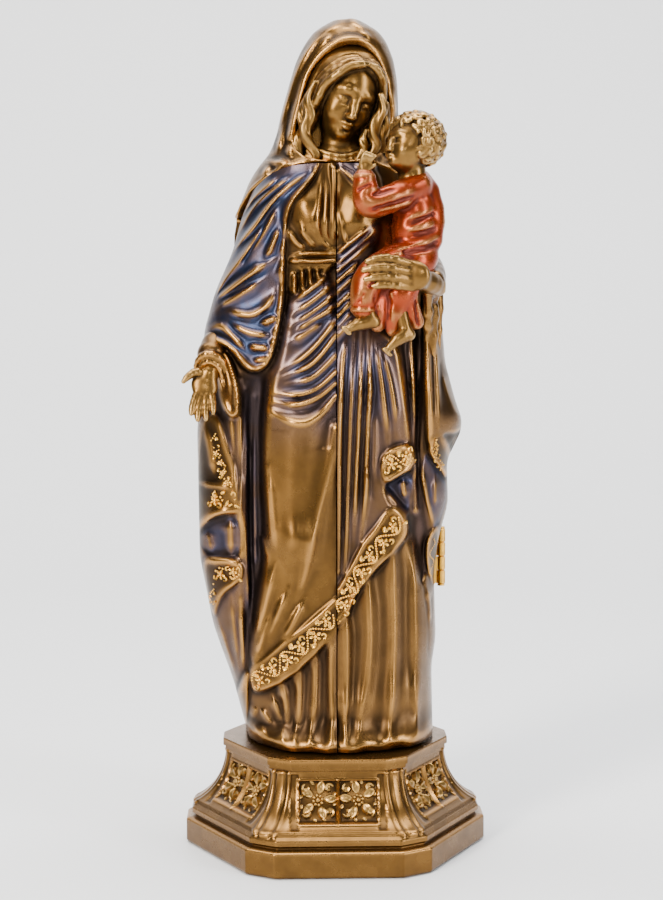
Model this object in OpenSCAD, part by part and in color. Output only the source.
// Opening statue of a veiled mother and child on a six-sided plinth.
// The front of the figure is two castings that swing on brass butt hinges and uncover a niche.
// The origin is the middle of the plinth's underside, +Z is up and the figure faces -Y.

/* [Plinth] */
// Height of the casting of the plinth, with the felt under it
plinth_h = 37.6; // [36:0.2:40]
// Distance from the axis to a flat side of the foot slab
foot_apothem = 48.7; // [46:0.1:50]
// Distance from the axis to a flat side of the top slab
top_apothem = 36.7; // [35:0.1:38]
// Thickness of the foot slab
foot_h = 9.2; // [8:0.1:10]
// Thickness of the top slab
top_h = 2.6; // [2:0.1:3.2]
// Thickness of the felt
felt_t = 1.5; // [1.2:0.1:2]

/* [Doors] */
// Height at which the doors end, at the seam
door_top = 238.6; // [236:0.2:240]
// Gap under each door
door_lift = 1.0; // [0.6:0.1:1.5]
// Width of the seam between the doors
seam = 0.4; // [0.3:0.05:0.8]
// Gap between a door and the fixed back, seen from the side
rim_gap = 0.6; // [0.5:0.05:0.8]
// Depth of the recess in each door for its relief plaque
recess_d = 5; // [4.5:0.1:6]

/* [Hinges] */
// Distance of each hinge axis from the middle plane
axis_x = 38; // [37.8:0.1:38.4]
// Outer diameter of the hinge barrel
barrel_d = 3.0; // [2.8:0.1:3.2]
// Diameter of the hinge pin
pin_d = 1.5; // [1.3:0.1:1.6]
// Thickness of a hinge leaf
leaf_t = 0.7; // [0.6:0.05:0.75]
// Height of a hinge
hinge_h = 20; // [18:0.5:21]
// Height of the middle of the lower hinges
lower_hinge_z = 101.3; // [95:0.1:106]
// Height of the middle of the upper hinges
upper_hinge_z = 160; // [156:0.5:164]

/* [Niche] */
// Half of the niche's width
niche_r = 22; // [20:0.5:23]
// Depth of the niche
niche_d = 15; // [14:0.5:15.5]
// Height of the niche's sill
niche_z = 50; // [48:0.5:54]

/* [Magnets] */
// Diameter of a closing magnet
magnet_d = 4; // [3:0.5:5]
// Thickness of a closing magnet
magnet_t = 2; // [1.5:0.5:2.5]

/* [Hidden] */

bronze = [0.50, 0.36, 0.17];
pale_bronze = [0.66, 0.52, 0.30];
blue_bronze = [0.27, 0.27, 0.32];
red_bronze = [0.62, 0.20, 0.08];
brass = [0.72, 0.60, 0.22];
steel = [0.75, 0.75, 0.76];
felt = [0.10, 0.12, 0.10];

axis_y = 2;                          // the hinge axes stand in the parting plane
door_back = axis_y - rim_gap / 2;    // plane of the doors' rear faces
shell_front = axis_y + rim_gap / 2;  // plane of the fixed back's front rim
rim_x = 35.2;                        // widest point of the rims, inside the hinge barrels
figure_z = plinth_h;                 // the figure stands on the plinth
door_z = figure_z + door_lift;       // lower edge of the doors
shell_top = 218;                     // glue line between the back and the veil casting
tall = 300;                          // taller than the whole statue
flare_slope = 0.6;                   // how fast cloth beyond the rim thins towards its edge
corner_extra = 4.3;                  // a trimmed corner's distance from the axis, over a side's, at the foot
leaf_reach = 7.4;                    // from a hinge axis to the edge of its leaf
leaf_fit = 0.05;                     // clearance of a leaf in its pocket
pin_fit = 0.03;                      // radial clearance of a pin in its knuckles
knuckles = 4;
knuckle_gap = 0.1;
screw_d = 1.4;
screw_head_d = 2.2;
magnet_z = 44.5;
magnet_x = 9;
magnet_fit = 0.05;

// Half-width of the figure's two sides and its depth in front of and behind the parting plane, by height
left_edge = [[38, 31], [60, 36.5], [80, 43], [105, 47.5], [150, 48], [172, 46], [185, 45.5], [199, 42],
             [212, 37], [225, 33.5], [240, 27]];
right_edge = [[38, 35], [64, 34.5], [75, 36], [100, 35.2], [113, 37], [125, 40], [141, 39.5], [152, 45],
              [160, 42.5], [175, 39], [200, 37], [212, 35.5], [225, 33.5], [240, 26]];
shell_edge = [[37, 31.5], [60, 33.5], [100, 35.2], [200, 35.2], [215, 34.8], [225, 33], [232, 31], [240, 26]];
front_depth = [[38, 29], [60, 26.5], [110, 26], [160, 28], [190, 26], [215, 28], [230, 25], [240, 21]];
back_depth = [[37, 25], [60, 23.5], [160, 23], [200, 21.5], [225, 18], [240, 15]];
// [height, middle x, half-width, front depth, back depth] of the casting of the collar and veil
hood_levels = [[218, 0, 34.6, 26, 19.2], [226, 0, 32.8, 25, 18], [233, 0, 30.2, 23.5, 17.5], [239, 0, 26.4, 21.5, 17.5],
               [243, 0, 22.8, 19, 18], [250, 1.2, 21.6, 17, 20], [259, 2.6, 20.6, 16, 22], [268, 3.5, 18.8, 15, 22.5],
               [278, 4.4, 15.4, 14, 20], [285, 4.4, 9.8, 9, 13], [289, 4, 3, 3, 4]];
door_levels = [door_z, 50, 62, 75, 88, 100, 112, 125, 138, 146, 152, 160, 172, 185, 198, 210, 222, 232, 241];
shell_levels = [figure_z, 50, 62, 80, 100, 125, 150, 175, 200, 210, shell_top];
// Profile of the joint between a door's top and the collar, by distance from the door's hinge axis:
// a surface turned round that axis, so that the door never meets the collar as it swings
top_profile = [[0, 219], [8, 221], [14, 229], [21, 232.5], [26, 235.5], [33, 237.6], [40, 238.3], [60, 238.6]];

// A six-sided outline with trimmed corners, from the distances of its sides and its corners
function hexagon(side, corner) = [for (k = [0 : 11])
    let (t = 30 * k - 90, a = k % 2 == 0 ? side : corner, b = k % 2 == 0 ? corner : side)
    [2 * (a * sin(t + 30) - b * sin(t)), 2 * (b * cos(t) - a * cos(t + 30))]];

// The points of one outline, set at a height
function at_height(outline, z) = [for (p = outline) [p[0], p[1], z]];

// Outline of a door, on the side of +X: half-width, depth
function door_outline(w, d) = let (y0 = door_back - flare_slope * max(0, w - rim_x)) concat(
    [for (t = [90 : -7 : 6]) [seam / 2 + (w - seam / 2) * pow(cos(t), 0.85), y0 - (d + y0) * pow(sin(t), 0.85)]],
    [[min(w, rim_x), door_back], [seam / 2, door_back]]);

// Outline of the fixed back: half-width, depth
function shell_outline(w, d) = concat(
    [[-w, shell_front], [w, shell_front]],
    [for (t = [6 : 8 : 174]) [w * sign(cos(t)) * pow(abs(cos(t)), 0.75), shell_front + (d - shell_front) * pow(sin(t), 0.75)]]);

// Outline of the veil: middle, half-width, depth in front, depth behind
function hood_outline(x, w, df, db) = [for (t = [-90 : 12 : 258])
    [x + w * sign(cos(t)) * pow(abs(cos(t)), 0.9), (sin(t) < 0 ? -df : db) * pow(abs(sin(t)), 0.9)]];

// Distance of the cove from the axis at a corner, by height
function cove(z) = top_apothem + 1.2 + 19 * (1 - sqrt(1 - pow((33.5 - z) / 20.5, 2)));

// A closed skin over rings of equal length, from the lowest ring to the highest
module skin(rings) {
    n = len(rings[0]);
    last = len(rings) - 1;
    polyhedron(
        points = [for (r = rings) each r],
        faces = concat(
            [[for (i = [0 : n - 1]) i]],
            [for (k = [0 : last - 1], i = [0 : n - 1]) each [
                [k * n + i, (k + 1) * n + (i + 1) % n, k * n + (i + 1) % n],
                [k * n + i, (k + 1) * n + i, (k + 1) * n + (i + 1) % n]]],
            [[for (i = [0 : n - 1]) last * n + n - 1 - i]]),
        convexity = 8);
}

// A limb between two balls
module limb(a, b, ra, rb) {
    hull() {
        translate(a) sphere(r = ra, $fn = 20);
        translate(b) sphere(r = rb, $fn = 20);
    }
}

// Turns what follows to the left side for -1, and leaves it on the right for 1
module side_of(s) {
    if (s < 0) mirror([1, 0, 0]) children();
    else children();
}

// A plate with a round top, standing in the plane of X and Z, from y0 to y1
module arch(x, r, z0, spring, y0, y1) {
    translate([0, y1, 0]) rotate([90, 0, 0]) linear_extrude(y1 - y0) {
        translate([x - r, z0]) square([2 * r, spring - z0]);
        translate([x, spring]) circle(r = r, $fn = 64);
    }
}

// A cylinder along Y, from y0 to y1
module bar_y(x, z, r, y0, y1) {
    translate([x, y0, z]) rotate([-90, 0, 0]) cylinder(r = r, h = y1 - y0, $fn = 32);
}

// What lies under the joint between a door and the collar
module under_joint(lift) {
    translate([axis_x, axis_y, 0]) rotate_extrude($fn = 96)
        polygon(concat([[0, 0]], [[60, 0]],
                       [for (k = [len(top_profile) - 1 : -1 : 0]) top_profile[k] + [0, lift]]));
}

// ---- Plinth ----

module plinth() {
    levels = concat(
        [[felt_t - 1, -0.4], [1.2, 0], [foot_h - 0.6, 0], [foot_h, -0.6], [foot_h + 0.4, -2.8],
         [foot_h + 1.2, -2.8], [foot_h + 1.7, -2], [foot_h + 3.3, -2], [foot_h + 4.4, -3.4]]);
    color(bronze) difference() {
        skin(concat(
            [for (l = levels) at_height(hexagon(foot_apothem + l[1], foot_apothem + corner_extra + l[1]), l[0])],
            [for (z = [15, 16, 17.5, 20, 23, 27, 30, 33.2]) at_height(hexagon(0.92 * cove(z), cove(z)), z)],
            [for (l = [[33.7, -0.8], [35, -0.8], [plinth_h - top_h, 0], [plinth_h - 0.3, 0], [plinth_h, -0.3]])
                at_height(hexagon(top_apothem + l[1], top_apothem + 3.1 + l[1]), l[0])]));
        translate([0, 0, -1]) linear_extrude(felt_t + 1) polygon(hexagon(foot_apothem - 3, foot_apothem + 1));
    }
}

module felt_pad() {
    color(felt) linear_extrude(felt_t) polygon(hexagon(foot_apothem - 3.1, foot_apothem + 0.9));
}

// ---- Hinges, screws and magnets, drawn on the side of +X ----

// A leaf with two of the four knuckles, from the first one that it has
module leaf(zc, first, y0) {
    pitch = hinge_h / knuckles;
    low = zc - hinge_h / 2;
    color(brass) difference() {
        union() {
            translate([axis_x - leaf_reach, y0, low]) cube([leaf_reach, leaf_t, hinge_h]);
            for (k = [first : 2 : knuckles - 1])
                translate([axis_x, axis_y, low + k * pitch + knuckle_gap / 2])
                    cylinder(r = barrel_d / 2, h = pitch - knuckle_gap, $fn = 48);
        }
        for (k = [1 - first : 2 : knuckles - 1])
            translate([axis_x, axis_y, low + k * pitch - knuckle_gap / 2])
                cylinder(r = barrel_d / 2 + 0.1, h = pitch + knuckle_gap, $fn = 48);
        translate([axis_x, axis_y, low - 1]) cylinder(r = pin_d / 2 + pin_fit, h = hinge_h + 2, $fn = 48);
        for (z = [-6, 6]) {
            bar_y(axis_x - 4.8, zc + z, screw_d / 2 + 0.05, y0 - 1, y0 + 2);
            countersink(zc + z, y0 < axis_y ? -1 : 1, 0.05);
        }
    }
}

// The cone of a screw's head, which narrows into the door for -1 and into the fixed back for 1
module countersink(z, way, extra) {
    mouth = way < 0 ? door_back + 0.25 : shell_front - 0.25;
    translate([axis_x - 4.8, mouth, z]) rotate([way < 0 ? 90 : -90, 0, 0])
        cylinder(r1 = screw_head_d / 2 + extra, r2 = screw_d / 2 + extra, h = 0.5, $fn = 32);
}

// The two screws of a leaf
module leaf_screws(zc, way) {
    color(brass) for (z = [-6, 6]) {
        countersink(zc + z, way, 0);
        if (way < 0) bar_y(axis_x - 4.8, zc + z, screw_d / 2, door_back - 5, door_back - 0.2);
        else bar_y(axis_x - 4.8, zc + z, screw_d / 2, shell_front + 0.2, shell_front + 5);
    }
}

// What a leaf, its barrel and its screws take out of a casting
module leaf_pocket(zc, way) {
    y0 = way < 0 ? door_back - 0.45 : shell_front - 2;
    translate([axis_x - leaf_reach - leaf_fit, y0 - (way < 0 ? leaf_fit : 0), zc - hinge_h / 2 - leaf_fit])
        cube([leaf_reach + 4, 2.45 + leaf_fit, hinge_h + 2 * leaf_fit]);
    translate([axis_x, axis_y, zc - hinge_h / 2 - 1]) cylinder(r = barrel_d / 2 + 0.4, h = hinge_h + 2, $fn = 48);
    for (z = [-6, 6])
        bar_y(axis_x - 4.8, zc + z, screw_d / 2 + 0.05, way < 0 ? door_back - 5.2 : shell_front - 1,
              way < 0 ? door_back + 1 : shell_front + 5.2);
}

module pin(zc) {
    color(brass) translate([axis_x, axis_y, zc - hinge_h / 2]) {
        translate([0, 0, -0.6]) cylinder(r = barrel_d / 2 - 0.2, h = 0.6, $fn = 48);
        translate([0, 0, -0.3]) cylinder(r = pin_d / 2, h = hinge_h + 0.6, $fn = 48);
        translate([0, 0, hinge_h]) cylinder(r = barrel_d / 2 - 0.2, h = 0.6, $fn = 48);
    }
}

module fixed_leaf(zc) { leaf(zc, 0, shell_front - 0.25); }
module moving_leaf(zc) { leaf(zc, 1, door_back - 0.45); }

module left_lower_fixed_leaf() { side_of(-1) fixed_leaf(lower_hinge_z); }
module left_upper_fixed_leaf() { side_of(-1) fixed_leaf(upper_hinge_z); }
module right_lower_fixed_leaf() { fixed_leaf(lower_hinge_z); }
module right_upper_fixed_leaf() { fixed_leaf(upper_hinge_z); }
module left_lower_moving_leaf() { side_of(-1) moving_leaf(lower_hinge_z); }
module left_upper_moving_leaf() { side_of(-1) moving_leaf(upper_hinge_z); }
module right_lower_moving_leaf() { moving_leaf(lower_hinge_z); }
module right_upper_moving_leaf() { moving_leaf(upper_hinge_z); }
module left_lower_pin() { side_of(-1) pin(lower_hinge_z); }
module left_upper_pin() { side_of(-1) pin(upper_hinge_z); }
module right_lower_pin() { pin(lower_hinge_z); }
module right_upper_pin() { pin(upper_hinge_z); }

module door_screws() {
    leaf_screws(lower_hinge_z, -1);
    leaf_screws(upper_hinge_z, -1);
}
module left_door_screws() { side_of(-1) door_screws(); }
module right_door_screws() { door_screws(); }

module shell_screws() {
    for (s = [-1, 1]) side_of(s) {
        leaf_screws(lower_hinge_z, 1);
        leaf_screws(upper_hinge_z, 1);
    }
}

module shell_magnets() {
    color(steel) for (s = [-1, 1])
        bar_y(s * magnet_x, magnet_z, magnet_d / 2, shell_front, shell_front + magnet_t);
}
module left_door_magnet() { color(steel) bar_y(-magnet_x, magnet_z, magnet_d / 2, door_back - magnet_t, door_back); }
module right_door_magnet() { color(steel) bar_y(magnet_x, magnet_z, magnet_d / 2, door_back - magnet_t, door_back); }

// ---- Fixed back of the figure ----

module back_shell() {
    color(bronze) difference() {
        skin([for (z = shell_levels)
            at_height(shell_outline(lookup(z, shell_edge), lookup(z, back_depth)), z)]);
        arch(0, niche_r, niche_z, 188, shell_front - 1, shell_front + niche_d);
        for (s = [-1, 1]) side_of(s) {
            leaf_pocket(lower_hinge_z, 1);
            leaf_pocket(upper_hinge_z, 1);
            bar_y(magnet_x, magnet_z, magnet_d / 2 + magnet_fit, shell_front - 1, shell_front + magnet_t);
        }
    }
}

// Nativity plaque at the back of the niche
module centre_relief() {
    back = shell_front + niche_d;
    color(pale_bronze) {
        arch(0, niche_r - 0.1, niche_z, 188, back - 1.5, back);
        limb([-11, back - 4.1, 60], [-10, back - 3.4, 104], 4, 3.2);
        translate([-8.6, back - 4.1, 112]) sphere(r = 3.8, $fn = 32);
        limb([11, back - 4.1, 60], [10.5, back - 3.4, 122], 4, 3.2);
        translate([9, back - 4.1, 131]) sphere(r = 3.8, $fn = 32);
        translate([-5, back - 6, niche_z + 6]) cube([10, 5, 12]);
        limb([-3, back - 4, 76], [3.4, back - 4, 77.5], 2.2, 2.6);
        translate([0, back - 2.2, 176]) sphere(r = 2, $fn = 32);
    }
}

module veil_and_collar() {
    color(bronze) difference() {
        skin([for (l = hood_levels) at_height(hood_outline(l[1], l[2], l[3], l[4]), l[0])]);
        for (s = [-1, 1]) side_of(s) intersection() {
            under_joint(rim_gap);
            translate([-0.1, -60, 0]) cube([70, 60 + shell_front, tall]);
        }
        limb([5, -16, 255], [5, -15.5, 265], 12, 11.5);
    }
}

module head() {
    color(pale_bronze) {
        limb([4.6, -8.5, 264], [5, -11, 256], 8.6, 6.2);
        limb([3.6, -6, 254], [2.6, -7.5, 247], 5, 6);
    }
}

// ---- Doors ----

module door(edge) {
    color(bronze) difference() {
        intersection() {
            skin([for (z = door_levels) at_height(door_outline(lookup(z, edge), lookup(z, front_depth)), z)]);
            under_joint(0);
        }
        arch(17.6, 12.2, 54, 184, door_back - recess_d, door_back + 1);
        leaf_pocket(lower_hinge_z, -1);
        leaf_pocket(upper_hinge_z, -1);
        bar_y(magnet_x, magnet_z, magnet_d / 2 + magnet_fit, door_back - magnet_t, door_back + 1);
    }
}

module left_door() { side_of(-1) door(left_edge); }
module right_door() { door(right_edge); }

// Angel plaque in a door
module door_relief() {
    y = door_back - recess_d;
    color(pale_bronze) {
        arch(17.6, 12.1, 54.1, 184, y, y + 1.5);
        limb([18, y + 2.4, 66], [17, y + 2.2, 126], 2.3, 2.1);
        translate([15.6, y + 2.4, 135]) sphere(r = 2.3, $fn = 32);
        limb([20, y + 1.8, 124], [23.6, y + 1.5, 154], 1.7, 1.2);
    }
}

module left_relief() { side_of(-1) door_relief(); }
module right_relief() { door_relief(); }

module open_hand() {
    color(pale_bronze) {
        limb([-41.5, -17, 172], [-43.8, -22, 165], 3.4, 4);
        limb([-43.8, -22, 165], [-45.2, -25, 156.5], 3.6, 2);
        limb([-43.5, -20, 170], [-48.8, -24, 166.6], 2, 1.4);
    }
}

module holding_hand() {
    color(pale_bronze) {
        limb([29, -25, 200.5], [20.5, -33, 200.5], 4.6, 4.4);
        limb([20.5, -33, 200.5], [9.5, -37, 203.5], 4.2, 2.4);
    }
}

// ---- Child ----

module child_robe() {
    color(red_bronze) {
        limb([26, -25, 208], [24.5, -27, 230], 8, 6.6);
        limb([22.5, -31, 227], [12, -35.5, 222.5], 4, 3.2);
        limb([12, -35.5, 222.5], [10, -36, 230], 3.2, 2.6);
        limb([25, -27, 207], [13.5, -35, 200], 7.5, 5);
        limb([12.5, -35, 198.5], [9.5, -36, 189.5], 4.4, 3.2);
        limb([21, -32, 200], [19.5, -33, 188], 4.8, 3.2);
    }
}

module child_feet() {
    color(pale_bronze) {
        limb([10.5, -36, 188.5], [3.6, -37.6, 183], 2.8, 1.9);
        limb([20, -33, 187], [16.6, -34.5, 178.2], 2.8, 2);
        limb([10, -36, 232.5], [8, -36.8, 236], 2.1, 1.3);
    }
}

module child_head() {
    color(pale_bronze) {
        limb([24.6, -28.5, 243.6], [25.4, -27, 246], 8, 9);
        limb([24.6, -27.5, 240], [24.4, -27, 233.5], 4, 4.4);
    }
}

// ---- Assembly ----

plinth();
felt_pad();
back_shell();
veil_and_collar();
head();
centre_relief();
shell_magnets();
shell_screws();
left_lower_fixed_leaf();
left_upper_fixed_leaf();
right_lower_fixed_leaf();
right_upper_fixed_leaf();
left_lower_pin();
left_upper_pin();
right_lower_pin();
right_upper_pin();
left_door();
left_relief();
open_hand();
left_door_magnet();
left_door_screws();
left_lower_moving_leaf();
left_upper_moving_leaf();
right_door();
right_relief();
child_robe();
child_head();
child_feet();
holding_hand();
right_door_magnet();
right_door_screws();
right_lower_moving_leaf();
right_upper_moving_leaf();
